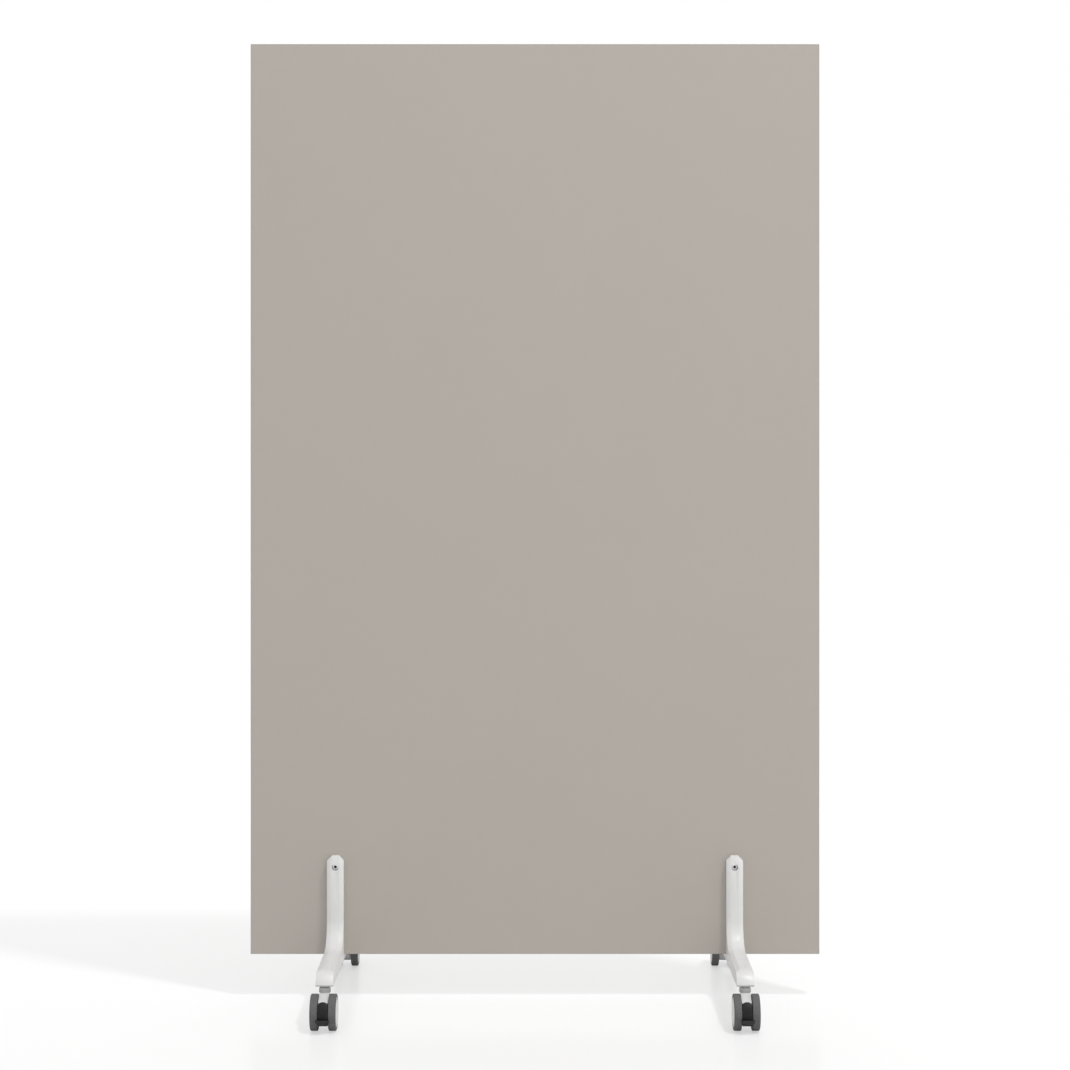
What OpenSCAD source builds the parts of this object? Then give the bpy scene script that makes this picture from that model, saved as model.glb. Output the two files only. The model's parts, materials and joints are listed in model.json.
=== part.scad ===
// Rolling partition: one flat panel that stands on two pairs of cast legs with braked twin-wheel casters.
// Frame: X along the panel, -Y towards the front, Z up. The origin is on the floor under the panel's middle.

/* [Panel] */
// Width of the panel
panel_w = 1250; // [900:10:1500]
// Height of the panel
panel_h = 2000; // [1200:10:2200]
// Thickness of the panel with both facing sheets
panel_t = 25; // [18:1:32]
// Thickness of one facing sheet
laminate_t = 0.8; // [0.5:0.1:1.5]
// Thickness of an edge band
edge_band_t = 1; // [0.5:0.1:2]

/* [Legs] */
// From a side edge of the panel to the middle of the leg near it
leg_inset = 187; // [100:1:300]
// Width of a leg
leg_w = 36.5; // [34:0.5:44]
// Width of the flat between a leg's two side facets
facet_flat_w = 17.5; // [15:0.5:20]
// How far a side facet falls back at the leg's edge
facet_drop = 4; // [2:0.5:5]
// Height of an upright above the panel's bottom edge
upright_h = 218; // [180:1:300]
// Depth of an upright in front of the panel
upright_d = 17; // [16:0.5:22]
// Height of the leaning face at the top of an upright
lean_h = 20; // [12:1:24]
// Angle at which that face leans back to the panel
lean_angle = 18; // [5:1:22]
// How far the top corners of an upright are cut
corner_cut = 11; // [8:0.5:14]
// Radius of the fillet between an upright and its arm
fillet_r = 56; // [40:1:64]
// Height of an arm at the panel
arm_h = 36; // [33:1:44]
// Rise of an arm's underside from the panel to the caster's stem
arm_rise = 5.5; // [0:0.5:8]
// From the panel's face to a caster's stem
stem_reach = 255; // [200:1:320]
// From a caster's stem to the nose of the arm
nose_l = 18; // [16:1:24]
// Radius of the nose's rounded top
nose_r = 38; // [28:1:44]
// Chamfer under the nose
nose_edge = 2.5; // [1:0.5:4]
// Thickness of a casting's side walls
casting_wall = 4; // [3:0.5:6]
// Thickness of an arm's roof over its hollow underside
casting_roof = 5; // [4:0.5:7]
// Thickness of the ribs between the pockets of the underside
rib_t = 3; // [2:0.5:5]
// Number of pockets in the underside
pocket_count = 5; // [3:1:7]
// Corner radius of a pocket
pocket_r = 4; // [2:0.5:6]
// Solid length of an arm in front of the panel, before the first pocket
root_l = 42; // [38:1:60]
// Thickness of the tongue under the panel
tongue_t = 10; // [8:0.5:13]
// Length of the tongue inside the rear leg
lap_l = 30; // [26:1:34]

/* [Rubber] */
// Thickness of the pad between an upright and the panel
pad_t = 1.5; // [1:0.5:3]
// Rim of the casting round the pad
pad_rim = 2; // [1.5:0.5:4]
// Thickness of the rest under the panel
rest_t = 3; // [2:0.5:6]

/* [Screws] */
// From the top of an upright down to its clamp screw
clamp_drop = 25; // [24:1:60]
// Diameter of a clamp screw
clamp_d = 8; // [6:1:8]
// Length of a clamp screw under its head
clamp_l = 42; // [40:1:45]
// Diameter of the clamp screw's head
clamp_head_d = 13; // [12:0.5:14]
// Height of its head
clamp_head_h = 5; // [4:0.5:8]
// Width across the flats of its hexagon socket
clamp_key = 5.5; // [5:0.5:7]
// Depth of that socket
clamp_key_depth = 3.5; // [2:0.5:4]
// Depth of its counterbore and of the nut's pocket
clamp_sink = 13; // [10:0.5:13.5]
// Width across the flats of the nut
nut_key = 13; // [12:0.5:14]
// Height of the nut
nut_h = 6.5; // [5:0.5:8]
// Outer diameter of the sleeve in the panel
sleeve_d = 12; // [11:0.5:14]
// Outer diameter of the boss that bears on the sleeve
boss_d = 18; // [16:1:22]
// Diameter of a joint screw
joint_d = 6; // [5:0.5:6]
// Length of a joint screw under its head
joint_l = 20; // [16:1:24]
// Diameter of its button head
joint_head_d = 10.5; // [9:0.5:11]
// Height of its button head
joint_head_h = 3.3; // [2.5:0.1:4]
// From the panel's rear face to the first joint screw
joint_first = 8; // [7:0.5:9]
// Distance between the two joint screws
joint_pitch = 14; // [12.5:0.5:15]

/* [Casters] */
// Diameter of a wheel
wheel_d = 75; // [70:1:80]
// Width of a tyre
tyre_w = 16; // [15:0.5:20]
// Distance between the two wheels of a caster
wheel_gap = 22; // [21:0.5:26]
// From the stem's axis back to the axle
trail = 24; // [22:0.5:28]
// Thickness of a tyre at the tread
tyre_t = 6.5; // [5:0.5:8]
// Radius of a tyre's shoulders
shoulder_r = 2.5; // [1.5:0.5:4]
// Width of a rim's outer ring
rim_ring_t = 2.5; // [2:0.5:4]
// Thickness of a rim's web
rim_web_t = 3; // [2:0.5:4]
// Number of ribs on the inner side of a rim
rim_ribs = 8; // [5:1:12]
// Outer diameter of a rim's hub
hub_d = 18; // [16:0.5:22]
// Diameter of the axle
axle_d = 8; // [6:0.5:9]
// Width of the ring that keeps a wheel on the axle
ring_w = 3; // [2:0.5:3.5]
// How far a hub cap stands out of its tyre
cap_out = 0.5; // [0.5:0.5:3]
// Diameter of the stem in the swivel body
stem_d = 10; // [8:0.5:11]
// Diameter of the stem in the leg
shank_d = 11; // [9:0.5:13]
// Length of the stem in the leg
shank_l = 18; // [12:1:19]
// Diameter of the flange that the leg stands on
flange_d = 15; // [14:0.5:16]
// Thickness of that flange
flange_t = 2; // [1.5:0.5:3]
// Diameter of the swivel collar
collar_d = 24.6; // [23:0.2:26]
// Diameter of the swivel collar's neck
collar_top_d = 15; // [14:0.5:17]
// Height of the swivel collar
collar_h = 13.2; // [12:0.1:16]
// Radius of the swivel collar's shoulder
collar_shoulder_r = 4.6; // [3:0.2:5.2]
// Radius of the swivel body round the axle
core_r = 24.5; // [22:0.5:26]
// Thickness of a cheek of the swivel body beside the pedal's arm
cheek_t = 4.2; // [3:0.2:5]
// Width of the pedal's lip
lip_w = 28.6; // [24:0.2:32]
// How far the lip stands out in front of the wheels
lip_out = 5.5; // [4:0.5:8]
// Corner radius at the top of the pedal
pedal_corner_r = 9; // [3:0.5:9]
// How far the pedal can be pressed down
pedal_travel = 12; // [8:1:14]

/* [Clearances] */
// Gap between the castings and the panel
casting_gap = 0.3; // [0.2:0.1:0.6]
// Radial clearance of a turning shaft
running_fit = 0.05; // [0.02:0.01:0.1]
// Radial clearance of a fixed shaft or screw thread
fixed_fit = 0.02; // [0.01:0.01:0.05]
// Radial clearance of a screw in a plain hole
screw_gap = 0.4; // [0.2:0.1:0.8]
// Radial clearance of a screw's head in its counterbore
head_gap = 0.7; // [0.5:0.1:1.5]
// Gap at the end of the tongue and round a pad
seat_gap = 0.5; // [0.3:0.1:1]
// Gap between the wheels and what lies between them
wheel_side_gap = 0.8; // [0.5:0.1:1.2]
// Gap at the end of a piece that turns
end_gap = 0.3; // [0.2:0.1:0.6]
// Gap round a hub cap
cap_gap = 0.2; // [0.1:0.1:0.5]
// Gap between the pedal and the swivel body
pedal_gap = 1.5; // [1:0.1:2]

/* [Hidden] */
$fn = 96;
// Name of each caster, its side and its face
CASTERS = [["front_left", -1, -1], ["front_right", 1, -1], ["rear_left", -1, 1], ["rear_right", 1, 1]];
CASTER_PIECES = [
    "swivel_collar", "swivel_body", "axle", "brake_pedal", "outer_rim", "inner_rim",
    "outer_tyre", "inner_tyre", "outer_hub_cap", "inner_hub_cap"
];

leg_white = [0.90, 0.90, 0.90];
panel_greige = [0.69, 0.66, 0.63];
nylon_grey = [0.80, 0.80, 0.80];
tyre_grey = [0.40, 0.40, 0.40];
collar_grey = [0.62, 0.62, 0.62];
pedal_black = [0.16, 0.16, 0.17];
steel = [0.70, 0.71, 0.72];
rubber_grey = [0.30, 0.30, 0.31];

wheel_r = wheel_d / 2;
leg_x = panel_w / 2 - leg_inset;

// How far a cut runs past what it cuts
over = 1;

// Heights, from the floor up
body_top_z = wheel_d - 1;
seat_z = body_top_z + collar_h + end_gap + flange_t;
nose_s = stem_reach + nose_l;
base_z = seat_z - flange_t - arm_rise;
arm_top_z = base_z + arm_h;
panel_z = base_z + tongue_t + rest_t;
joint_sink = joint_head_h + 0.7;
stem_low = wheel_r + 3;
seat_d = max(collar_top_d, flange_d) + 2 * seat_gap;
upright_top_z = panel_z + upright_h;
clamp_z = upright_top_z - clamp_drop;
foot_z = arm_top_z + fillet_r;
arm_start = upright_d + fillet_r;
facet_w = (leg_w - facet_flat_w) / 2;

// Widths between the wheels of a caster
core_w = wheel_gap - 2 * wheel_side_gap;
pedal_arm_w = core_w - 2 * cheek_t - 2 * wheel_side_gap;
wheel_in = wheel_gap / 2;
wheel_out = wheel_in + tyre_w;
web_in = wheel_in + (tyre_w - rim_web_t) / 2;
web_out = web_in + rim_web_t;
hub_out = wheel_out - 4;
ring_t = 1;
cap_in = wheel_out - 2;

// Radii round the axle, and places of the pedal and the hood from it
rim_r = wheel_r - tyre_t;
rim_ring_r = rim_r - rim_ring_t;
pedal_arm_r = axle_d / 2 + 4.5;
pedal_in_r = core_r + pedal_gap;
pedal_out_r = wheel_r - 1;
pedal_top = 0.7 * wheel_r;
pedal_low = -0.59 * wheel_r;
hood_y = 0.86 * core_r;
hood_z = 0.96 * core_r;
lip_top = -0.2 * wheel_r;
lip_edge = -0.27 * wheel_r;
lip_low = -0.5 * wheel_r;

// Children lie in a leg's own frame: Y runs out from the panel's face
module at_leg(side, face) {
    translate([side * leg_x, 0, 0])
        mirror([0, face < 0 ? 1 : 0, 0])
            translate([0, panel_t / 2, 0])
                children();
}

module at_caster(place) {
    at_leg(place[1], place[2])
        translate([0, stem_reach, 0])
            children();
}

// Draws a profile of Y and Z as a plate across X
module across(width) {
    translate([-width / 2, 0, 0])
        rotate([90, 0, 90])
            linear_extrude(width)
                children();
}

// Draws a profile of X and Z as a bar along Y
module along(from, to) {
    translate([0, to, 0])
        rotate([90, 0, 0])
            linear_extrude(to - from)
                children();
}

// ---- Panel ----

module clamp_bores(d) {
    for (side = [-1, 1])
        translate([side * leg_x, panel_t, clamp_z])
            rotate([90, 0, 0])
                cylinder(d = d, h = 2 * panel_t);
}

module board(thickness) {
    translate([-panel_w / 2 + edge_band_t, -thickness / 2, panel_z + edge_band_t])
        cube([panel_w - 2 * edge_band_t, thickness, panel_h - 2 * edge_band_t]);
}

module panel_core() {
    color(panel_greige)
        difference() {
            board(panel_t - 2 * laminate_t);
            clamp_bores(sleeve_d + 2 * fixed_fit);
        }
}

module laminate(face) {
    color(panel_greige)
        difference() {
            translate([0, face * (panel_t - laminate_t) / 2, 0])
                board(laminate_t);
            clamp_bores(sleeve_d + 2 * fixed_fit);
        }
}

module level_edge_band(z) {
    color(panel_greige)
        translate([-panel_w / 2, -panel_t / 2, z])
            cube([panel_w, panel_t, edge_band_t]);
}

module side_edge_band(x) {
    color(panel_greige)
        translate([x, -panel_t / 2, panel_z + edge_band_t])
            cube([edge_band_t, panel_t, panel_h - 2 * edge_band_t]);
}

module clamp_sleeves() {
    color(steel)
        for (side = [-1, 1])
            at_leg(side, 1)
                translate([0, 0, clamp_z])
                    rotate([90, 0, 0])
                        difference() {
                            cylinder(d = sleeve_d, h = panel_t);
                            translate([0, 0, -over])
                                cylinder(d = clamp_d + 2 * screw_gap, h = panel_t + 2 * over);
                        }
}

// ---- Legs ----

// Section of a leg, from depth 0 out to its front: a flat between two facets
module leg_section(depth) {
    polygon([
        [-leg_w / 2, 0],
        [leg_w / 2, 0],
        [leg_w / 2, depth - facet_drop],
        [facet_flat_w / 2, depth],
        [-facet_flat_w / 2, depth],
        [-leg_w / 2, depth - facet_drop]
    ]);
}

// The upright's front leans back at the top, and its top corners are cut
module upright() {
    reach = upright_top_z - foot_z;
    intersection() {
        translate([0, 0, foot_z])
            linear_extrude(reach)
                leg_section(upright_d);
        translate([0, upright_d, upright_top_z - lean_h])
            rotate([lean_angle, 0, 0])
                translate([0, -3 * upright_d, -2 * reach])
                    linear_extrude(3 * reach)
                        leg_section(3 * upright_d);
        along(-over, upright_d + over)
            polygon([
                [-leg_w / 2, foot_z],
                [leg_w / 2, foot_z],
                [leg_w / 2, upright_top_z - corner_cut],
                [leg_w / 2 - corner_cut, upright_top_z],
                [corner_cut - leg_w / 2, upright_top_z],
                [-leg_w / 2, upright_top_z - corner_cut]
            ]);
    }
}

// A spool turned about the fillet's axis carries the flat and both facets round the corner
module fillet_block() {
    spool_e = leg_w / 2 + over;
    spool_r = fillet_r + facet_drop * (spool_e - facet_flat_w / 2) / facet_w;
    difference() {
        across(leg_w)
            polygon([[0, base_z], [arm_start, base_z], [arm_start, foot_z], [0, foot_z]]);
        translate([0, arm_start, foot_z])
            rotate([0, 90, 0])
                rotate_extrude()
                    polygon([
                        [0, -spool_e],
                        [spool_r, -spool_e],
                        [fillet_r, -facet_flat_w / 2],
                        [fillet_r, facet_flat_w / 2],
                        [spool_r, spool_e],
                        [0, spool_e]
                    ]);
    }
}

// The arm keeps the same section, and its nose is rounded down to the caster
module arm() {
    difference() {
        translate([0, 0, base_z])
            along(arm_start, nose_s)
                leg_section(arm_h);
        across(leg_w + 2 * over)
            difference() {
                translate([nose_s - nose_r, arm_top_z - nose_r])
                    square(nose_r + over);
                translate([nose_s - nose_r, arm_top_z - nose_r])
                    circle(nose_r);
            }
    }
}

// Everything below the sloping underside, with the chamfer under the nose
module below_arm() {
    slope = arm_rise / stem_reach;
    edge_s = nose_s - 2 * nose_edge;
    low = base_z - arm_h;
    across(leg_w + 2 * over)
        polygon([
            [0, base_z],
            [edge_s, base_z + slope * edge_s],
            [nose_s + nose_edge, base_z + slope * edge_s + 3 * nose_edge],
            [nose_s + nose_edge, low],
            [-over, low],
            [-over, base_z]
        ]);
}

module rounded_box(size, r) {
    linear_extrude(size[2])
        union() {
            translate([-size[0] / 2 + r, 0])
                square([size[0] - 2 * r, size[1]]);
            translate([-size[0] / 2, r])
                square([size[0], size[1] - 2 * r]);
            for (x = [-1, 1])
                for (y = [r, size[1] - r])
                    translate([x * (size[0] / 2 - r), y])
                        circle(r);
        }
}

// Hollow underside: pockets between ribs, up to the roof
module arm_pockets() {
    room = stem_reach - seat_d / 2 - casting_wall - root_l;
    pocket_l = (room - (pocket_count - 1) * rib_t) / pocket_count;
    for (i = [0 : pocket_count - 1])
        translate([0, root_l + i * (pocket_l + rib_t), base_z - over])
            rounded_box([leg_w - 2 * casting_wall, pocket_l, arm_h - casting_roof + over], pocket_r);
}

// Pad pocket of an upright: the upright's outline above the panel's bottom edge, less a rim of equal width
module pad_shape(margin) {
    inset = pad_rim + margin;
    low = panel_z + inset;
    high = upright_top_z - inset;
    half = leg_w / 2 - inset;
    cut = corner_cut - (2 - sqrt(2)) * inset;
    polygon([
        [-half, low],
        [half, low],
        [half, high - cut],
        [half - cut, high],
        [cut - half, high],
        [-half, high - cut]
    ]);
}

module casting() {
    difference() {
        union() {
            upright();
            fillet_block();
            arm();
        }
        below_arm();
        arm_pockets();
        // gap to the panel and pocket of the pad, with a boss round the clamp screw that bears on the sleeve
        difference() {
            union() {
                translate([-leg_w, -over, base_z + tongue_t])
                    cube([2 * leg_w, over + casting_gap, upright_top_z]);
                along(-over, pad_t)
                    pad_shape(0);
            }
            translate([0, -2 * over, clamp_z])
                rotate([-90, 0, 0])
                    cylinder(d = boss_d, h = upright_d);
        }
        // clamp screw's plain hole
        translate([0, -over, clamp_z])
            rotate([-90, 0, 0])
                cylinder(d = clamp_d + 2 * screw_gap, h = 2 * upright_d);
        // socket for the caster's stem, and the flat that its flange bears on, wider than the swivel collar
        translate([0, stem_reach, seat_z - flange_d])
            cylinder(d = shank_d + 2 * fixed_fit, h = shank_l + seat_gap + flange_d);
        translate([0, stem_reach, seat_z - flange_d])
            cylinder(d = seat_d, h = flange_d);
    }
}

module joint_places() {
    for (i = [0, 1])
        translate([0, joint_first + i * joint_pitch, 0])
            children();
}

// The front leg's tongue runs under the panel and into the rear leg
module front_leg(side) {
    color(leg_white)
        difference() {
            union() {
                at_leg(side, -1)
                    casting();
                at_leg(side, 1)
                    translate([-leg_w / 2, -panel_t - casting_gap - over, base_z])
                        cube([leg_w, panel_t + casting_gap + over + lap_l, tongue_t]);
            }
            at_leg(side, -1)
                translate([0, upright_d - clamp_sink, clamp_z])
                    rotate([-90, 0, 0])
                        cylinder(d = clamp_head_d + 2 * head_gap, h = 2 * clamp_sink);
            at_leg(side, 1)
                joint_places() {
                    translate([0, 0, base_z - over])
                        cylinder(d = joint_d + 2 * screw_gap, h = tongue_t + 2 * over);
                    translate([0, 0, base_z - over])
                        cylinder(d = joint_head_d + 2 * seat_gap, h = joint_sink + over);
                }
        }
}

module hexagon(key, h) {
    rotate([-90, 0, 0])
        cylinder(r = key / 2 / cos(30), h = h, $fn = 6);
}

module rear_leg(side) {
    color(leg_white)
        at_leg(side, 1)
            difference() {
                casting();
                translate([-leg_w, -over, base_z - over])
                    cube([2 * leg_w, over + lap_l + seat_gap, tongue_t + over]);
                translate([0, upright_d - clamp_sink, clamp_z])
                    hexagon(nut_key + 2 * fixed_fit, 2 * clamp_sink);
                joint_places()
                    translate([0, 0, base_z])
                        cylinder(d = joint_d + 2 * fixed_fit, h = joint_sink + joint_l + over);
            }
}

module leg_pads() {
    color(rubber_grey)
        for (side = [-1, 1])
            for (face = [-1, 1])
                at_leg(side, face)
                    difference() {
                        along(0, pad_t)
                            pad_shape(seat_gap / 2);
                        translate([0, -over, clamp_z])
                            rotate([-90, 0, 0])
                                cylinder(d = boss_d + 2 * seat_gap, h = pad_t + 2 * over);
                    }
}

module panel_rests() {
    color(rubber_grey)
        for (side = [-1, 1])
            translate([side * leg_x - leg_w / 2 + pad_rim, -panel_t / 2, base_z + tongue_t])
                cube([leg_w - 2 * pad_rim, panel_t, rest_t]);
}

module clamp_screws() {
    color(steel)
        for (side = [-1, 1])
            at_leg(side, -1)
                translate([0, upright_d - clamp_sink, clamp_z])
                    difference() {
                        union() {
                            rotate([-90, 0, 0])
                                cylinder(d = clamp_head_d, h = clamp_head_h);
                            rotate([90, 0, 0])
                                cylinder(d = clamp_d, h = clamp_l);
                        }
                        translate([0, clamp_head_h - clamp_key_depth, 0])
                            hexagon(clamp_key, clamp_head_h);
                    }
}

module clamp_nuts() {
    color(steel)
        for (side = [-1, 1])
            at_leg(side, 1)
                translate([0, upright_d - clamp_sink, clamp_z])
                    difference() {
                        hexagon(nut_key, nut_h);
                        translate([0, -over, 0])
                            rotate([-90, 0, 0])
                                cylinder(d = clamp_d + 2 * fixed_fit, h = nut_h + 2 * over);
                    }
}

module joint_screws() {
    color(steel)
        for (side = [-1, 1])
            at_leg(side, 1)
                joint_places()
                    translate([0, 0, base_z + joint_sink - joint_head_h])
                        difference() {
                            union() {
                                cylinder(d1 = joint_head_d - joint_head_h, d2 = joint_head_d, h = joint_head_h);
                                cylinder(d = joint_d, h = joint_head_h + joint_l);
                            }
                            translate([0, 0, -over])
                                cylinder(r = joint_d / 3 / cos(30), h = joint_head_h, $fn = 6);
                        }
}

// ---- Casters: the frame is the stem's axis on the floor, and the axle trails along Y ----

module caster_stems() {
    color(steel)
        for (place = CASTERS)
            at_caster(place) {
                translate([0, 0, stem_low])
                    cylinder(d = stem_d, h = seat_z - stem_low);
                translate([0, 0, seat_z - flange_t])
                    cylinder(d = flange_d, h = flange_t);
                translate([0, 0, seat_z - flange_t])
                    cylinder(d = shank_d, h = flange_t + shank_l);
            }
}

// A cylinder with a round shoulder, and a neck up to the stem's flange
module swivel_collar() {
    shoulder_z = 0.82 * collar_h;
    color(collar_grey)
        translate([0, 0, body_top_z])
            difference() {
                rotate_extrude()
                    union() {
                        square([collar_top_d / 2, collar_h]);
                        square([collar_d / 2 - collar_shoulder_r, shoulder_z]);
                        square([collar_d / 2, shoulder_z - collar_shoulder_r]);
                        translate([collar_d / 2 - collar_shoulder_r, shoulder_z - collar_shoulder_r])
                            circle(collar_shoulder_r);
                    }
                translate([0, 0, -over])
                    cylinder(d = stem_d + 2 * running_fit, h = collar_h + 2 * over);
            }
}

// Stem housing and hood of the swivel body, from the side with the axle at the origin.
// Its two lower corners lie inside the disc round the axle, at the angles given.
module housing_outline() {
    top = body_top_z - wheel_r;
    inside_r = 0.9 * core_r;
    hood_angle = 42;
    back_angle = 225;
    polygon([
        [-trail - core_w, top],
        [collar_d / 2 - trail, top],
        [hood_y, hood_z],
        [inside_r * cos(hood_angle), inside_r * sin(hood_angle)],
        [0, 0],
        [inside_r * cos(back_angle), inside_r * sin(back_angle)],
        [-trail - core_w, 0.1 * core_r]
    ]);
}

module swivel_body() {
    arm_room = pedal_arm_r + pedal_gap;
    color(nylon_grey)
        difference() {
            intersection() {
                translate([0, trail, wheel_r])
                    union() {
                        across(core_w)
                            circle(core_r);
                        across(core_w)
                            housing_outline();
                    }
                // round back about the stem's axis
                linear_extrude(wheel_d)
                    union() {
                        circle(core_w / 2);
                        translate([-core_w / 2, 0])
                            square([core_w, 2 * wheel_r]);
                    }
            }
            // bore of the stem
            translate([0, 0, stem_low - end_gap])
                cylinder(d = stem_d + 2 * running_fit, h = wheel_d);
            // bore of the axle
            translate([-core_w, trail, wheel_r])
                rotate([0, 90, 0])
                    cylinder(d = axle_d + 2 * fixed_fit, h = 2 * core_w);
            // slot of the pedal's arm, as wide as the arm swings
            translate([0, trail, wheel_r])
                across(core_w - 2 * cheek_t)
                    union() {
                        circle(arm_room);
                        polygon([
                            [0, arm_room],
                            [2 * core_r, arm_room],
                            [2 * core_r, -arm_room - 2 * core_r * sin(pedal_travel)],
                            [0, -arm_room]
                        ]);
                    }
        }
}

// Shaft of both wheels, with a ring outside each hub that keeps the wheel on it
module axle() {
    shaft_end = cap_in - end_gap;
    color(steel) {
        translate([-shaft_end, trail, wheel_r])
            rotate([0, 90, 0])
                cylinder(d = axle_d, h = 2 * shaft_end);
        for (side = [-1, 1])
            wheel_turning(side)
                translate([0, 0, hub_out + end_gap])
                    difference() {
                        cylinder(d = axle_d + 2 * ring_w, h = ring_t);
                        translate([0, 0, -over])
                            cylinder(d = axle_d + 2 * fixed_fit, h = ring_t + 2 * over);
                    }
    }
}

// Face of the pedal between the wheels, seen from the side with the axle at the origin
module pedal_face_outline() {
    intersection() {
        difference() {
            circle(pedal_out_r);
            circle(pedal_in_r);
        }
        polygon([
            [hood_y + pedal_gap, 0],
            [hood_y + pedal_gap, wheel_d],
            [wheel_d, wheel_d],
            [wheel_d, pedal_low],
            [0, pedal_low],
            [0, 0]
        ]);
    }
}

// The lip from the same side: its front edge leans back towards its foot
module pedal_lip_outline() {
    front = wheel_r + lip_out;
    polygon([
        [pedal_in_r + 4, lip_top],
        [front - 1, lip_top],
        [front, lip_edge],
        [front - lip_out / 2, (lip_edge + 3 * lip_low) / 4],
        [wheel_r, lip_low],
        [pedal_in_r, lip_low]
    ]);
}

module brake_pedal() {
    straight = pedal_top - pedal_corner_r;
    foot_w = core_w - 2;
    color(pedal_black)
        translate([0, trail, wheel_r])
            difference() {
                union() {
                    // arm and its eye on the axle
                    across(pedal_arm_w)
                        union() {
                            circle(pedal_arm_r);
                            translate([0, -pedal_arm_r])
                                square([pedal_in_r + 1, 2 * pedal_arm_r]);
                        }
                    // face with rounded top corners
                    intersection() {
                        across(core_w)
                            pedal_face_outline();
                        along(0, wheel_d)
                            union() {
                                translate([-core_w / 2, pedal_low])
                                    square([core_w, straight - pedal_low]);
                                translate([pedal_corner_r - core_w / 2, pedal_low])
                                    square([core_w - 2 * pedal_corner_r, pedal_top - pedal_low]);
                                for (x = [-1, 1])
                                    translate([x * (core_w / 2 - pedal_corner_r), straight])
                                        circle(pedal_corner_r);
                            }
                    }
                    // lip, narrower at its foot
                    intersection() {
                        across(lip_w)
                            pedal_lip_outline();
                        along(0, wheel_d)
                            polygon([
                                [-lip_w / 2, lip_top],
                                [lip_w / 2, lip_top],
                                [lip_w / 2, lip_edge],
                                [foot_w / 2, lip_low],
                                [-foot_w / 2, lip_low],
                                [-lip_w / 2, lip_edge]
                            ]);
                    }
                }
                // room for the wheels behind the ends of the lip
                for (side = [-1, 1])
                    translate([side * (core_w + lip_w) / 2, 0, 0])
                        cube([lip_w, 2 * (wheel_r + wheel_side_gap), wheel_d], center = true);
                rotate([0, 90, 0])
                    translate([0, 0, -core_w])
                        cylinder(d = axle_d + 2 * running_fit, h = 2 * core_w);
            }
}

// Wheels are turned about the axle: children are profiles of radius and of distance from the caster's middle
module wheel_turning(side) {
    translate([0, trail, wheel_r])
        rotate([0, side * 90, 0])
            children();
}

module tyre(side) {
    color(tyre_grey)
        wheel_turning(side)
            rotate_extrude()
                union() {
                    translate([rim_r + fixed_fit, wheel_in])
                        square([tyre_t - fixed_fit - shoulder_r, tyre_w]);
                    translate([rim_r + fixed_fit, wheel_in + shoulder_r])
                        square([tyre_t - fixed_fit, tyre_w - 2 * shoulder_r]);
                    for (a = [wheel_in + shoulder_r, wheel_out - shoulder_r])
                        translate([wheel_r - shoulder_r, a])
                            circle(shoulder_r);
                }
}

// Ring and hub joined by a web, which ribs stiffen on its inner side
module rim(side) {
    face_in = wheel_in + end_gap;
    rib_w = 2.5;
    rib_in = wheel_in + 1.5;
    color(nylon_grey)
        wheel_turning(side)
            difference() {
                union() {
                    rotate_extrude()
                        polygon([
                            [0, face_in],
                            [hub_d / 2, face_in],
                            [hub_d / 2, web_in],
                            [rim_ring_r, web_in],
                            [rim_ring_r, face_in],
                            [rim_r, face_in],
                            [rim_r, wheel_out - end_gap],
                            [rim_ring_r, wheel_out - end_gap],
                            [rim_ring_r, web_out],
                            [hub_d / 2, web_out],
                            [hub_d / 2, hub_out],
                            [0, hub_out]
                        ]);
                    for (i = [0 : rim_ribs - 1])
                        rotate([0, 0, i * 360 / rim_ribs])
                            translate([hub_d / 2 - over, -rib_w / 2, rib_in])
                                cube([rim_ring_r - hub_d / 2 + 2 * over, rib_w, web_in - rib_in + over]);
                }
                cylinder(d = axle_d + 2 * running_fit, h = 2 * wheel_out);
            }
}

// A shallow dished cap inside the rim's ring, with a collar that clips over the hub
module hub_cap(side) {
    cap_r = rim_ring_r - cap_gap;
    clip_r = hub_d / 2 + fixed_fit;
    clip_t = 2;
    face = wheel_out + cap_out;
    dish = 1;
    color(nylon_grey)
        wheel_turning(side)
            rotate_extrude()
                polygon([
                    [0, cap_in],
                    [clip_r, cap_in],
                    [clip_r, web_out + cap_gap],
                    [clip_r + clip_t, web_out + cap_gap],
                    [clip_r + clip_t, cap_in],
                    [cap_r, cap_in],
                    [cap_r, wheel_out + cap_gap],
                    [cap_r - cap_out, face],
                    [clip_r + clip_t, face],
                    [clip_r, face - dish],
                    [0, face - dish]
                ]);
}

panel_core();
laminate(-1);  // front_laminate
laminate(1);  // rear_laminate
level_edge_band(panel_z + panel_h - edge_band_t);  // top_edge_band
level_edge_band(panel_z);  // bottom_edge_band
side_edge_band(-panel_w / 2);  // left_edge_band
side_edge_band(panel_w / 2 - edge_band_t);  // right_edge_band
clamp_sleeves();
leg_pads();
panel_rests();
clamp_screws();
clamp_nuts();
joint_screws();
front_leg(-1);  // left_front_leg
front_leg(1);  // right_front_leg
rear_leg(-1);  // left_rear_leg
rear_leg(1);  // right_rear_leg
caster_stems();
for (place = CASTERS) {
    outer = place[1];
    inner = -place[1];
    at_caster(place) swivel_collar();
    at_caster(place) swivel_body();
    at_caster(place) axle();
    at_caster(place) brake_pedal();
    at_caster(place) rim(outer);
    at_caster(place) rim(inner);
    at_caster(place) tyre(outer);
    at_caster(place) tyre(inner);
    at_caster(place) hub_cap(outer);
    at_caster(place) hub_cap(inner);
}
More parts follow.
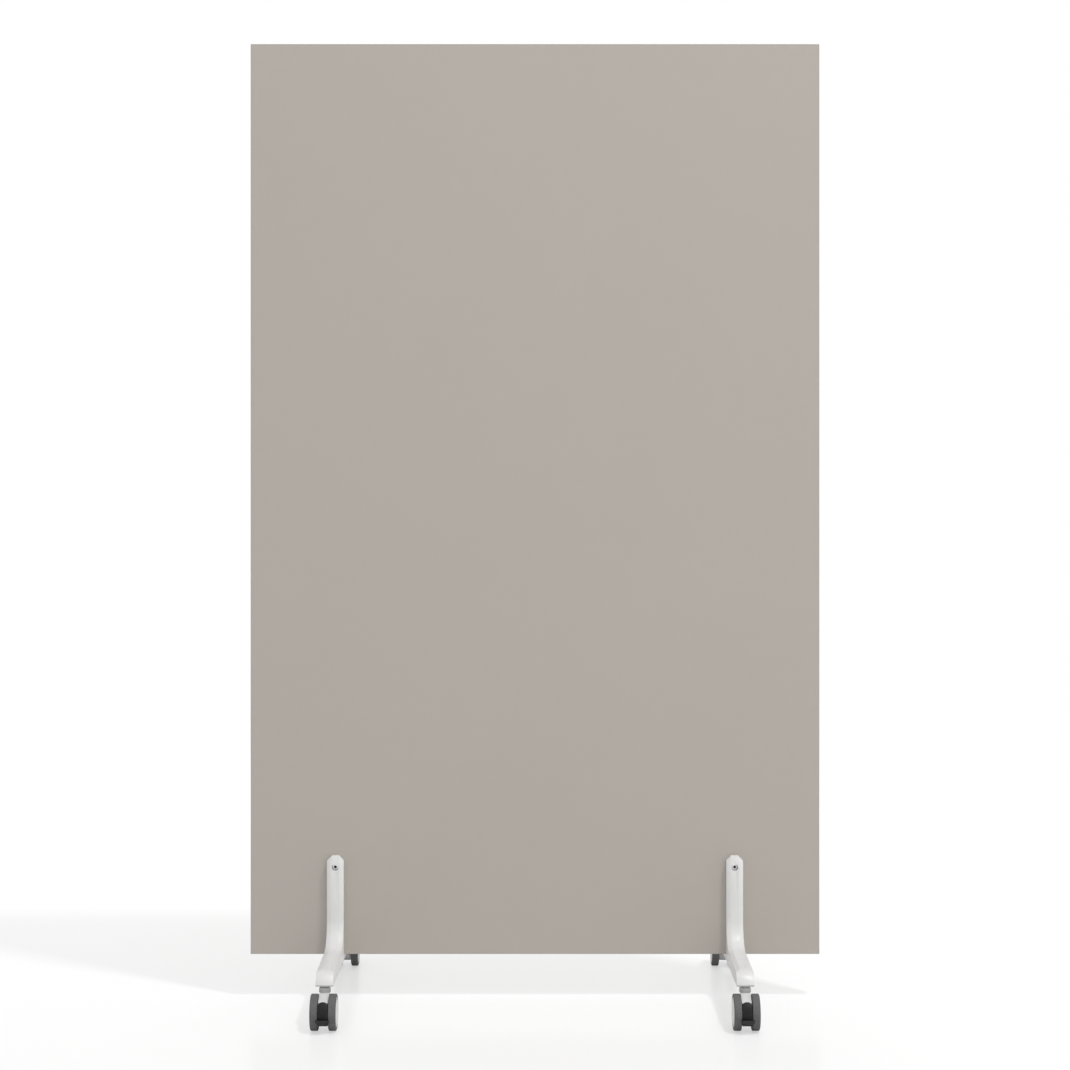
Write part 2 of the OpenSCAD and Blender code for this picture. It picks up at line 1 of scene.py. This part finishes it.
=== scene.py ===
# Rolling partition: finishes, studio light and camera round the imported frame.
# Metres, Z up, -Y is the front.
import json
import math
import bmesh
import bpy
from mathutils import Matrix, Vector

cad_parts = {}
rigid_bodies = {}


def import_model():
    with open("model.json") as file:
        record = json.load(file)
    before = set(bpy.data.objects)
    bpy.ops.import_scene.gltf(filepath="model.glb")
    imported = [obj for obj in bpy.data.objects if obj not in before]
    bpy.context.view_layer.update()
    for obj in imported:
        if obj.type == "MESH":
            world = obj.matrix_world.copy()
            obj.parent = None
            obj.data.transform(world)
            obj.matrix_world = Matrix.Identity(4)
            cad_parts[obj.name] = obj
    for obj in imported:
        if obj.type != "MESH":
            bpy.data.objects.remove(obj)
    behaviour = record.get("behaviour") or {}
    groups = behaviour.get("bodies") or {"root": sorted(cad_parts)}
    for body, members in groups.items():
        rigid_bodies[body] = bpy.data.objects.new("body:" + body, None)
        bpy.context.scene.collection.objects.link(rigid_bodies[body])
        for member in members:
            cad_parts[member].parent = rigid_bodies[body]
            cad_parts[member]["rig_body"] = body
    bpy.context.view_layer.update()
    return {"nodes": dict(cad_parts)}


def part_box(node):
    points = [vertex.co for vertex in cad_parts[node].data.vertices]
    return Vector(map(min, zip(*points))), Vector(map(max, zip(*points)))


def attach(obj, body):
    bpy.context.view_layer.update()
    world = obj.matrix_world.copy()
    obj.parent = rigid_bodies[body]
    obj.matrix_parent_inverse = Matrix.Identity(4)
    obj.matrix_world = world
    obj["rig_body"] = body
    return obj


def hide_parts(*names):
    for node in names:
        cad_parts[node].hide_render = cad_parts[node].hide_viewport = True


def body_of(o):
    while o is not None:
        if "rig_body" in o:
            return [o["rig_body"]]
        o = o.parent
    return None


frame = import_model()
nodes = frame["nodes"]
scene = bpy.context.scene
print("frame loaded,", len(nodes), "nodes")


# One socket of a material. Its operators add Math nodes, with another socket or a number beside it.
class Wire:
    def __init__(self, finish, socket):
        self.finish = finish
        self.socket = socket

    def maths(self, operation, first, second):
        return self.finish.add("ShaderNodeMath", {"operation": operation}, {0: first, 1: second})

    def __add__(self, other):
        return self.maths("ADD", self, other)

    def __sub__(self, other):
        return self.maths("SUBTRACT", self, other)

    def __rsub__(self, other):
        return self.maths("SUBTRACT", other, self)

    def __mul__(self, other):
        return self.maths("MULTIPLY", self, other)

    __radd__ = __add__
    __rmul__ = __mul__


# A material that is filled node by node. add() makes one node: its settings first, then its sockets.
class Finish:
    def __init__(self, name, tree=None):
        self.material = None
        if tree is None:
            self.material = bpy.data.materials.new(name)
            self.material.use_nodes = True
            tree = self.material.node_tree
        self.tree = tree
        self.tree.nodes.clear()

    def add(self, kind, settings=None, sockets=None, output=0):
        made = self.tree.nodes.new(kind)
        for key, value in (settings or {}).items():
            setattr(made, key, value)
        for key, value in (sockets or {}).items():
            if isinstance(value, Wire):
                self.tree.links.new(value.socket, made.inputs[key])
            else:
                made.inputs[key].default_value = value
        return Wire(self, made.outputs[output]) if len(made.outputs) else None

    # Object coordinates, in metres
    def place(self):
        return self.add("ShaderNodeTexCoord", output=3)

    # Noise round 0.5 whose grains are size metres wide, stretched by a vector of scales
    def grain(self, size, detail=2.0, stretch=(1.0, 1.0, 1.0), roughness=0.5):
        where = self.add("ShaderNodeMapping", {"vector_type": "POINT"}, {0: self.place(), 3: stretch})
        return self.add("ShaderNodeTexNoise", {"noise_dimensions": "3D"},
                        {"Vector": where, "Scale": 1.0 / size, "Detail": detail, "Roughness": roughness})

    # 0 below low, 1 above high, smooth between them
    def step(self, value, low, high):
        return self.add("ShaderNodeMapRange", {"interpolation_type": "SMOOTHSTEP"},
                        {"Value": value, "From Min": low, "From Max": high})

    # Colour a where the mask is 0, colour b where it is 1
    def blend(self, mask, a, b):
        return self.add("ShaderNodeMix", {"data_type": "RGBA"}, {0: mask, 6: a, 7: b}, output=2)

    # A height of 0 to 1 that is depth metres deep, as a normal
    def bump(self, height, depth):
        return self.add("ShaderNodeBump", None, {"Height": height, "Distance": depth, "Strength": 1.0})

    # The surface itself: what varies is linked, what is the same all over is set
    def surface(self, **sockets):
        names = {"colour": "Base Color", "roughness": "Roughness", "metallic": "Metallic",
                 "normal": "Normal", "specular": "Specular IOR Level"}
        values = {names[key]: value for key, value in sockets.items()}
        shader = self.add("ShaderNodeBsdfPrincipled", None, values)
        self.add("ShaderNodeOutputMaterial", None, {"Surface": shader})
        return self.material


# A colour with its alpha, lighter or darker by a factor
def shade(colour, factor=1.0):
    return (colour[0] * factor, colour[1] * factor, colour[2] * factor, 1.0)


def grey(level):
    return (level, level, level, 1.0)


# Gives the nodes a material in place of what they had
def dress(names, material):
    for name in names:
        slots = nodes[name].data.materials
        slots.clear()
        slots.append(material)


# The nodes whose names end in any of the given ways
def named(*endings):
    return [name for name in nodes if name.endswith(endings)]


# Panel: matt laminate with a very fine leathery grain, banded edges, and a core of pressed wood
panelLook = {
    "colour": (0.437, 0.402, 0.366), "tone": 0.018, "drift": 0.35, "grain": 0.0011,
    "grainDepth": 0.00004, "roughness": 0.5, "shine": 0.35, "bandShade": 0.94,
    "core": (0.52, 0.42, 0.30), "chip": 0.003, "chipDepth": 0.0003
}


# Colour drifts by a percent or two over decimetres; two sizes of grain press into the surface
def laminateFinish(name, factor):
    finish = Finish(name)
    drift = finish.grain(panelLook["drift"], 3.0)
    fine = finish.grain(panelLook["grain"], 3.0, roughness=0.6)
    coarse = finish.grain(panelLook["grain"] * 4, 2.0)
    low = shade(panelLook["colour"], factor * (1 - panelLook["tone"]))
    high = shade(panelLook["colour"], factor * (1 + panelLook["tone"]))
    mask = drift * 0.7 + fine * 0.3
    return finish.surface(colour=finish.blend(mask, low, high),
                          roughness=fine * 0.12 + (panelLook["roughness"] - 0.06),
                          normal=finish.bump(fine * 0.6 + coarse * 0.4, panelLook["grainDepth"]),
                          specular=panelLook["shine"])


# Pressed wood chips, seen only where a bore opens the board
def coreFinish():
    finish = Finish("coreBoard")
    chips = finish.grain(panelLook["chip"], 4.0, (1.0, 3.0, 1.0))
    colour = finish.blend(chips, shade(panelLook["core"], 0.7), shade(panelLook["core"], 1.2))
    return finish.surface(colour=colour, roughness=chips * 0.2 + 0.65,
                          normal=finish.bump(chips, panelLook["chipDepth"]))


dress(["front_laminate", "rear_laminate"], laminateFinish("panelLaminate", 1.0))
dress(named("edge_band"), laminateFinish("edgeBand", panelLook["bandShade"]))
dress(["panel_core"], coreFinish())
print("panel finished")

# Legs: white powder coat on castings
legLook = {
    "colour": (0.702, 0.700, 0.694), "clean": 1.01, "dusty": 0.975, "peel": 0.0016, "wave": 0.012,
    "dust": 0.05, "peelDepth": 0.00005, "roughness": 0.38, "shine": 0.45
}


# Orange peel of the powder coat, a coarser wave of the casting below it, and dust that dulls patches
def castingFinish():
    finish = Finish("whiteCasting")
    peel = finish.grain(legLook["peel"], 2.0)
    wave = finish.grain(legLook["wave"], 3.0)
    dust = finish.step(finish.grain(legLook["dust"], 4.0), 0.45, 0.75)
    clean = shade(legLook["colour"], legLook["clean"])
    dusty = shade(legLook["colour"], legLook["dusty"])
    return finish.surface(colour=finish.blend(dust, clean, dusty),
                          roughness=dust * 0.08 + peel * 0.06 + (legLook["roughness"] - 0.05),
                          normal=finish.bump(peel * 0.7 + wave * 0.8, legLook["peelDepth"]),
                          specular=legLook["shine"])


dress(named("_leg"), castingFinish())
print("legs finished")

# Moulded pieces, each with its colour, roughness, size of grain and depth of grain
mouldedLook = {
    "rubber": {"colour": (0.07, 0.07, 0.072), "roughness": 0.75, "grain": 0.0006, "depth": 0.00005},
    "collar": {"colour": (0.48, 0.48, 0.477), "roughness": 0.42, "grain": 0.0005, "depth": 0.00003},
    "nylon": {"colour": (0.675, 0.675, 0.669), "roughness": 0.4, "grain": 0.0006, "depth": 0.00003},
    "tone": 0.03, "drift": 0.02
}


# Moulded plastic or rubber: a spark-eroded grain, and a colour that drifts slightly
def mouldedFinish(name, kind):
    look = mouldedLook[kind]
    finish = Finish(name)
    texture = finish.grain(look["grain"], 2.0)
    drift = finish.grain(mouldedLook["drift"], 3.0)
    low = shade(look["colour"], 1 - mouldedLook["tone"])
    high = shade(look["colour"], 1 + mouldedLook["tone"])
    return finish.surface(colour=finish.blend(drift, low, high),
                          roughness=texture * 0.12 + drift * 0.06 + (look["roughness"] - 0.09),
                          normal=finish.bump(texture, look["depth"]))


dress(["leg_pads", "panel_rests"], mouldedFinish("greyRubber", "rubber"))
dress(named("_swivel_collar"), mouldedFinish("collarPlastic", "collar"))
dress(named("_swivel_body", "_rim", "_hub_cap"), mouldedFinish("casterNylon", "nylon"))

# Steel and screws: socketReach is how far from its axis a clamp screw gets painted socket shade, and
# socketBlur how softly that ends
steelLook = {
    "plating": (0.58, 0.585, 0.59), "lines": 0.0008, "linesDepth": 0.00002, "cloud": 0.006,
    "nickel": (0.80, 0.80, 0.80), "socket": (0.032, 0.032, 0.032), "socketReach": 0.0030,
    "socketBlur": 0.0005, "turning": 0.0005, "turningDepth": 0.00001
}


# Zinc-plated steel: fine machining lines along X and cloudy patches of the plating
def steelFinish():
    finish = Finish("zincSteel")
    lines = finish.grain(steelLook["lines"], 2.0, (0.08, 1.0, 1.0))
    cloud = finish.grain(steelLook["cloud"], 3.0)
    low = shade(steelLook["plating"], 0.92)
    high = shade(steelLook["plating"], 1.05)
    return finish.surface(colour=finish.blend(cloud, low, high), metallic=1.0,
                          roughness=lines * 0.14 + cloud * 0.1 + 0.24,
                          normal=finish.bump(lines, steelLook["linesDepth"]))


# Bright nickel on the two clamp screws, with painted shade, dark and not metallic, in the socket and its
# chamfer: they are what lies near the screw's own axis. Both screws are folded onto one by the size of X.
def screwFinish():
    low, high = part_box("clamp_screws")
    headRadius = (high.z - low.z) / 2
    finish = Finish("nickelScrew")
    spot = finish.add("ShaderNodeVectorMath", {"operation": "ABSOLUTE"}, {0: finish.place()})
    flat = finish.add("ShaderNodeVectorMath", {"operation": "MULTIPLY"}, {0: spot, 1: (1, 0, 1)})
    centre = (high.x - headRadius, 0, (high.z + low.z) / 2)
    reach = finish.add("ShaderNodeVectorMath", {"operation": "DISTANCE"}, {0: flat, 1: centre}, output=1)
    shadedReach = steelLook["socketReach"]
    # Painted shade: near the axis the screw is dark and not metallic, standing in for the unlit inside of
    # its socket
    socketShadeMask = 1 - finish.step(reach, shadedReach, shadedReach + steelLook["socketBlur"])
    turned = finish.grain(steelLook["turning"], 3.0)
    bright = shade(steelLook["nickel"])
    paintedShade = shade(steelLook["socket"])
    return finish.surface(colour=finish.blend(socketShadeMask, bright, paintedShade), metallic=1 - socketShadeMask,
                          roughness=turned * 0.12 + socketShadeMask * 0.3 + 0.22,
                          normal=finish.bump(turned, steelLook["turningDepth"]))


dress(["clamp_sleeves", "clamp_nuts", "joint_screws", "caster_stems"] + named("_axle"), steelFinish())
dress(["clamp_screws"], screwFinish())

# Tyres: the tread begins between treadInner and treadOuter below the tyre's radius, and the moulding
# line ends between partingInner and partingOuter from its middle plane
tyreLook = {
    "colour": (0.096, 0.096, 0.097), "scuff": (0.14, 0.139, 0.137), "patchSize": 0.002, "scuffShare": 0.8,
    "treadInner": 0.0016, "treadOuter": 0.0002, "partingInner": 0.0003, "partingOuter": 0.0007,
    "edge": 0.003, "grain": 0.0007, "depth": 0.00008, "roughness": 0.55, "shine": 0.4
}


# The tread is scuffed lighter than the flanks, with a moulding line round its middle.
# Both are masks, of the distance from the axle and from the wheel's middle plane.
def tyreFinish(name):
    low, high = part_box(name)
    middle = (low + high) / 2
    radius = (high.z - low.z) / 2
    width = high.x - low.x
    finish = Finish("casterTyre_" + name)
    offset = finish.add("ShaderNodeVectorMath", {"operation": "SUBTRACT"}, {0: finish.place(), 1: middle})
    across = finish.add("ShaderNodeSeparateXYZ", None, {0: offset})
    flat = finish.add("ShaderNodeVectorMath", {"operation": "MULTIPLY"}, {0: offset, 1: (0, 1, 1)})
    reach = finish.add("ShaderNodeVectorMath", {"operation": "LENGTH"}, {0: flat}, output=1)
    sideways = finish.add("ShaderNodeMath", {"operation": "ABSOLUTE"}, {0: across})
    scratches = finish.grain(tyreLook["patchSize"], 4.0, (0.3, 1.0, 1.0))
    tread = finish.step(reach, radius - tyreLook["treadInner"], radius - tyreLook["treadOuter"])
    lighterPatches = tread * finish.step(scratches, 0.35, 0.7)
    parting = (1 - finish.step(sideways, tyreLook["partingInner"], tyreLook["partingOuter"])) * tread
    texture = finish.grain(tyreLook["grain"], 2.0)
    edge = finish.step(sideways, width / 2 - tyreLook["edge"], width / 2)
    clean = shade(tyreLook["colour"])
    scuffed = shade(tyreLook["scuff"])
    return finish.surface(colour=finish.blend(lighterPatches * tyreLook["scuffShare"], clean, scuffed),
                          roughness=lighterPatches * 0.15 + texture * 0.1 + edge * 0.04 + tyreLook["roughness"],
                          normal=finish.bump(texture * 0.4 + parting, tyreLook["depth"]),
                          specular=tyreLook["shine"])


for tyreName in named("_tyre"):
    dress([tyreName], tyreFinish(tyreName))

# Pedals: lipTop is the height of the lip's top edge above the floor
pedalLook = {
    "colour": (0.0135, 0.0135, 0.014), "lighterPatches": (0.034, 0.034, 0.0345), "lipTop": 0.0300, "lipBlur": 0.0012,
    "patchSize": 0.003, "grain": 0.0007, "depth": 0.00005, "roughness": 0.48, "shine": 0.22
}


# Black plastic whose lip is lighter, duller and rougher below its top edge, in patches.
# The mask is one below the lip's top edge and follows the patches across it.
def pedalFinish():
    finish = Finish("pedalPlastic")
    lipTop = pedalLook["lipTop"]
    texture = finish.grain(pedalLook["grain"], 2.0)
    patches = finish.step(finish.grain(pedalLook["patchSize"], 4.0, (0.4, 1.0, 1.0)), 0.25, 0.65)
    height = finish.add("ShaderNodeSeparateXYZ", None, {0: finish.place()}, output=2)
    # Lighter below the lip's top edge, in patches; the rest of the pedal keeps its black
    lighterPatches = (1 - finish.step(height, lipTop - pedalLook["lipBlur"], lipTop)) * (patches * 0.6 + 0.4)
    return finish.surface(colour=finish.blend(lighterPatches, shade(pedalLook["colour"]), shade(pedalLook["lighterPatches"])),
                          roughness=texture * 0.12 + lighterPatches * 0.1 + pedalLook["roughness"],
                          normal=finish.bump(texture * 0.6 + lighterPatches * 0.4, pedalLook["depth"]),
                          specular=pedalLook["shine"])


dress(named("_brake_pedal"), pedalFinish())
print("casters finished")

# Edges: radius of the rounding on each kind of node
edgeLook = {
    "_leg": 0.00035, "_edge_band": 0.0004, "_swivel_body": 0.0006, "_brake_pedal": 0.0006,
    "_hub_cap": 0.0005, "_rim": 0.0004, "_swivel_collar": 0.0003, "_axle": 0.0003, "_tyre": 0.0002,
    "_screws": 0.0003, "_nuts": 0.0003, "_stems": 0.0003, "_rests": 0.0005
}
sharpEdge = math.radians(20)  # what turns by more than this is rounded
flatEdge = math.radians(0.5)  # what turns by less than this is one face
samePoint = 0.000001


# A softened copy stands in for a CAD node. Its loose triangles are merged, neighbours in one plane are
# joined, and every sharp edge is rounded, so that it catches light as a cast or moulded edge does.
def soften(name, radius):
    form = bmesh.new()
    form.from_mesh(nodes[name].data)
    bmesh.ops.remove_doubles(form, verts=form.verts, dist=samePoint)
    bmesh.ops.dissolve_limit(form, angle_limit=flatEdge, verts=form.verts, edges=form.edges)
    mesh = bpy.data.meshes.new(name + "_soft")
    form.to_mesh(mesh)
    form.free()
    mesh.shade_smooth()
    mesh.materials.append(nodes[name].data.materials[0])
    piece = bpy.data.objects.new(name + "_soft", mesh)
    scene.collection.objects.link(piece)
    rounding = piece.modifiers.new("roundedEdges", "BEVEL")
    rounding.width = radius
    rounding.segments = 2
    rounding.limit_method = "ANGLE"
    rounding.angle_limit = sharpEdge
    rounding.harden_normals = True
    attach(piece, body_of(nodes[name])[0])
    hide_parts(name)


for ending, radius in edgeLook.items():
    for name in named(ending):
        soften(name, radius)
print("edges softened")

# Studio: white floor that keeps the shadow, and soft white surroundings. The floor value lights the
# object, floorSeen and lift make what the camera sees of the floor, room is how bright the surroundings
# light, and fade is where, in metres from the middle, the floor turns plain white to the camera.
studioLook = {
    "floor": 0.80, "floorSeen": 0.40, "lift": 0.505, "room": 0.80, "floorShine": 0.018,
    "floorRoughness": 0.16, "floorSize": 60.0, "fade": (2.4, 4.5)
}

# A key lamp from above the right front and three weaker ones: place, point it faces, size and power.
# One that isn't mirrored leaves no glare on the floor.
lampLook = {
    "keyLamp": {"at": (2.5, -2.16, 7.4), "target": (0, 0, 0.9), "size": 0.6, "watts": 215.0,
                "mirrored": True},
    "sideLamp": {"at": (7.0, -2.33, 1.75), "target": (0, 0, 0.6), "size": 4.3, "watts": 39.0,
                 "mirrored": True},
    "backLamp": {"at": (-0.3, 5.4, 0.95), "target": (0, 0.3, 0.2), "size": 1.8, "watts": 90.0,
                 "mirrored": False},
    "lowLamp": {"at": (1.0, -5.3, 0.5), "target": (0, 0, 0.1), "size": 0.9, "watts": 8.0,
                "mirrored": False}
}


# Flat sheet centred below the object
def makeFloor():
    half = studioLook["floorSize"] / 2
    corners = [(-half, -half, 0), (half, -half, 0), (half, half, 0), (-half, half, 0)]
    mesh = bpy.data.meshes.new("studioFloor")
    mesh.from_pydata(corners, [], [(0, 1, 2, 3)])
    floor = bpy.data.objects.new("studioFloor", mesh)
    scene.collection.objects.link(floor)
    finish = Finish("studioWhite")
    seen = finish.add("ShaderNodeLightPath")
    colour = finish.blend(seen, grey(studioLook["floor"]), grey(studioLook["floorSeen"]))
    paint = finish.add("ShaderNodeBsdfPrincipled", None,
                       {"Base Color": colour, "Roughness": studioLook["floorRoughness"],
                        "Specular IOR Level": studioLook["floorShine"]})
    lift = finish.blend(seen, grey(0), grey(studioLook["lift"]))
    glow = finish.add("ShaderNodeEmission", None, {"Color": lift})
    near = finish.add("ShaderNodeAddShader", None, {0: paint, 1: glow})
    away = finish.add("ShaderNodeVectorMath", {"operation": "LENGTH"}, {0: finish.place()}, output=1)
    white = finish.add("ShaderNodeEmission", None, {"Color": grey(1)})
    far = finish.step(away, *studioLook["fade"]) * seen
    both = finish.add("ShaderNodeMixShader", None, {0: far, 1: near, 2: white})
    finish.add("ShaderNodeOutputMaterial", None, {"Surface": both})
    mesh.materials.append(finish.material)


# White where the camera or a reflection sees it, the room's own level where it only lights
def makeWorld():
    world = bpy.data.worlds.new("studioRoom")
    world.use_nodes = True
    scene.world = world
    finish = Finish("studioRoom", world.node_tree)
    seen = finish.add("ShaderNodeLightPath")
    glossy = finish.add("ShaderNodeLightPath", output=3)
    through = finish.add("ShaderNodeLightPath", output=6)
    white = finish.add("ShaderNodeMath", {"operation": "MAXIMUM"}, {0: seen, 1: glossy})
    white = finish.add("ShaderNodeMath", {"operation": "MAXIMUM"}, {0: white, 1: through})
    colour = finish.blend(white, grey(studioLook["room"]), grey(1))
    back = finish.add("ShaderNodeBackground", None, {"Color": colour})
    finish.add("ShaderNodeOutputWorld", None, {"Surface": back})


# Square lamp that faces its target
def makeLamp(name, look):
    data = bpy.data.lights.new(name, "AREA")
    data.shape = "SQUARE"
    data.size = look["size"]
    data.energy = look["watts"]
    lamp = bpy.data.objects.new(name, data)
    lamp.location = look["at"]
    lamp.visible_glossy = look["mirrored"]
    facing = Vector(look["target"]) - Vector(look["at"])
    lamp.rotation_euler = facing.to_track_quat("-Z", "Y").to_euler()
    scene.collection.objects.link(lamp)


makeFloor()
makeWorld()
for lampName, look in lampLook.items():
    makeLamp(lampName, look)
print("studio lit")

# Camera: level, at chest height, with the frame shifted down as the photograph has it. Distance is
# from the panel's face, and the horizon is in picture pixels from the top.
cameraLook = {
    "distance": 4.963, "height": 1.2193, "focalPixels": 2257.8, "horizon": 442.5, "imagePixels": 1070,
    "sensorWidth": 36.0, "farthest": 200.0
}
imagePixels = cameraLook["imagePixels"]
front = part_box("front_laminate")[0].y
camera = bpy.data.cameras.new("photoCamera")
camera.sensor_width = cameraLook["sensorWidth"]
camera.lens = cameraLook["focalPixels"] * camera.sensor_width / imagePixels
camera.shift_y = (cameraLook["horizon"] - imagePixels / 2) / imagePixels
camera.clip_end = cameraLook["farthest"]
eye = bpy.data.objects.new("photoCamera", camera)
eye.location = (0, front - cameraLook["distance"], cameraLook["height"])
eye.rotation_euler = (math.pi / 2, 0, 0)
scene.collection.objects.link(eye)
scene.camera = eye
scene.view_settings.view_transform = "Standard"
print("camera set")
